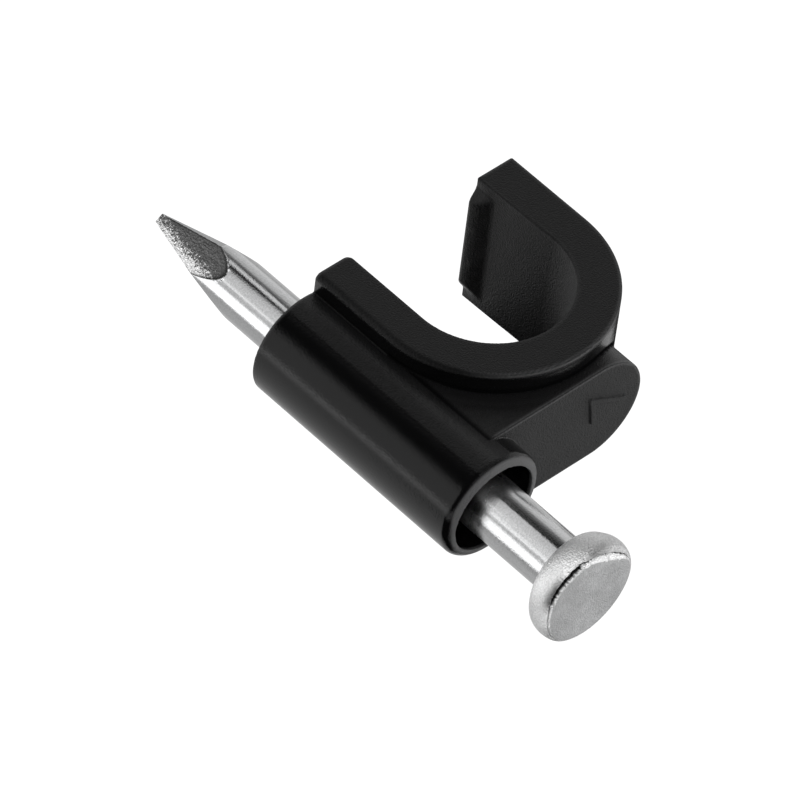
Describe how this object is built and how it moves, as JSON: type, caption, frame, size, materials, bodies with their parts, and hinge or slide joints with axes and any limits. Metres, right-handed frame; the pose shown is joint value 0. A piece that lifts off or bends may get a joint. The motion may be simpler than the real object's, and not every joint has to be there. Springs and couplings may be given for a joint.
{
  "type": "nail-in cable clip",
  "caption": "Black moulded cable clip: an open round hook with a retaining lip, joined by a web to a sleeve that holds a steel nail part way in, ready to fix a cable to a wall.",
  "frame": {"origin": "on the nail's axis, in the plane of the wall that the hook's legs and the sleeve's end stand on", "axes": "+X from the nail to the cable, +Y into the wall along the nail, +Z along the cable"},
  "size_m": [0.0136, 0.0252, 0.0068],
  "materials": {
    "plastic": "black, semi-gloss as moulded",
    "steel": "bright zinc plated, with a satin head face and rough cut facets"
  },
  "bodies": {
    "clip": {"clip_body": "plastic"},
    "nail": {"nail": "steel"}
  },
  "joints": [
    {"name": "nail_drive", "type": "slide", "parent": "clip", "child": "nail", "axis": [0, 1, 0], "range_m": [0, 0.0041]}
  ]
}
